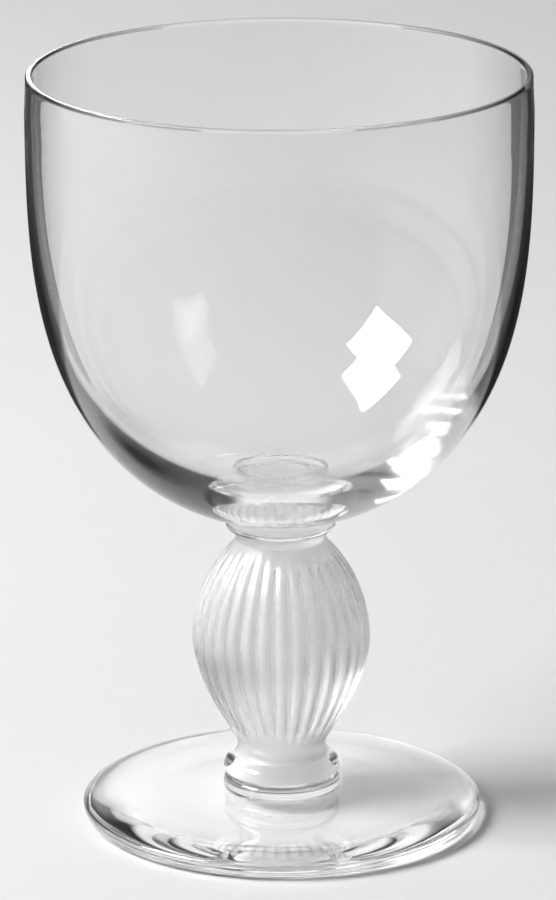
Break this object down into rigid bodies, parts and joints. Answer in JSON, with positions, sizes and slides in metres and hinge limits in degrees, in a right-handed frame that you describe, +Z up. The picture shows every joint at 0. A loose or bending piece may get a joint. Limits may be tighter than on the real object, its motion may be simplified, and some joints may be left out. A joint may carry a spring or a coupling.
{
  "type": "burgundy wine glass",
  "caption": "Stemmed wine goblet in clear crystal: deep round bowl, clear collars, frosted ribbed baluster stem and a thick flat disc foot.",
  "frame": {"origin": "middle of the foot's underside, on the table plane", "axes": "+Z up the axis of the glass, from the foot to the lip"},
  "size_m": [0.0972, 0.0972, 0.1495],
  "materials": {
    "bowl_crystal": "clear, fire-polished",
    "collar_crystal": "clear, fire-polished",
    "stem_satin_crystal": "acid-frosted satin, ribbed",
    "foot_crystal": "clear, polished"
  },
  "bodies": {
    "root": {"bowl": "bowl_crystal", "upper_collar": "collar_crystal", "stem": "stem_satin_crystal", "lower_collar": "collar_crystal", "foot": "foot_crystal"}
  },
  "joints": []
}
